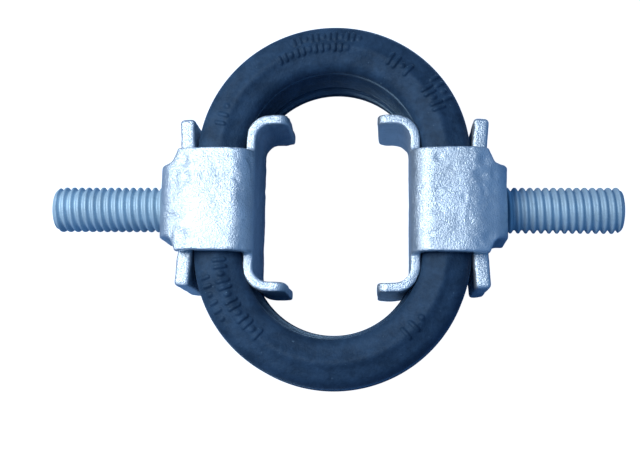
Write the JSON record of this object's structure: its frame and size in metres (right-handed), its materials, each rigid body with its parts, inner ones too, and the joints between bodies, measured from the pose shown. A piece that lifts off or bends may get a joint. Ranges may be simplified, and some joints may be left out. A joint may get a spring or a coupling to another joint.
{
  "type": "rubber ring vibration hanger",
  "caption": "Vibration-isolating hanger: an oblong rubber ring gripped by two bent galvanised straps, each with a pressure plate and an outward threaded stud.",
  "frame": {"origin": "centre of the rubber ring, on the axis of both studs, which is also the centre of the bounding box", "axes": "+X along the studs towards the load stud; +Z along the axis of the ring's hole; +Y across the studs in the ring's plane. The hanger lies flat on the backs of its straps at Z = -13 mm."},
  "size_m": [0.1184, 0.0746, 0.026],
  "materials": {
    "ring_rubber": "moulded navy-black rubber, low sheen",
    "galvanised_strap": "hot-dip zinc, matt with bright speckle",
    "galvanised_plate": "hot-dip zinc, matt with bright speckle",
    "galvanised_stud": "hot-dip zinc over a rolled thread"
  },
  "bodies": {
    "support_yoke": {"support_strap": "galvanised_strap", "support_pressure_plate": "galvanised_plate", "support_stud": "galvanised_stud"},
    "ring": {"rubber_ring": "ring_rubber"},
    "load_yoke": {"load_strap": "galvanised_strap", "load_pressure_plate": "galvanised_plate", "load_stud": "galvanised_stud"}
  },
  "joints": [
    {"name": "ring_swing", "type": "hinge", "parent": "support_yoke", "child": "ring", "pos_m": [-0.023, 0, 0], "axis": [0, 0, 1], "range_deg": [-8, 8], "stiffness_Nm_per_rad": 6, "deforming": ["rubber_ring"]},
    {"name": "load_travel", "type": "slide", "parent": "ring", "child": "load_yoke", "axis": [1, 0, 0], "range_m": [-0.003, 0.008], "stiffness_N_per_m": 30000, "deforming": ["rubber_ring"]}
  ]
}
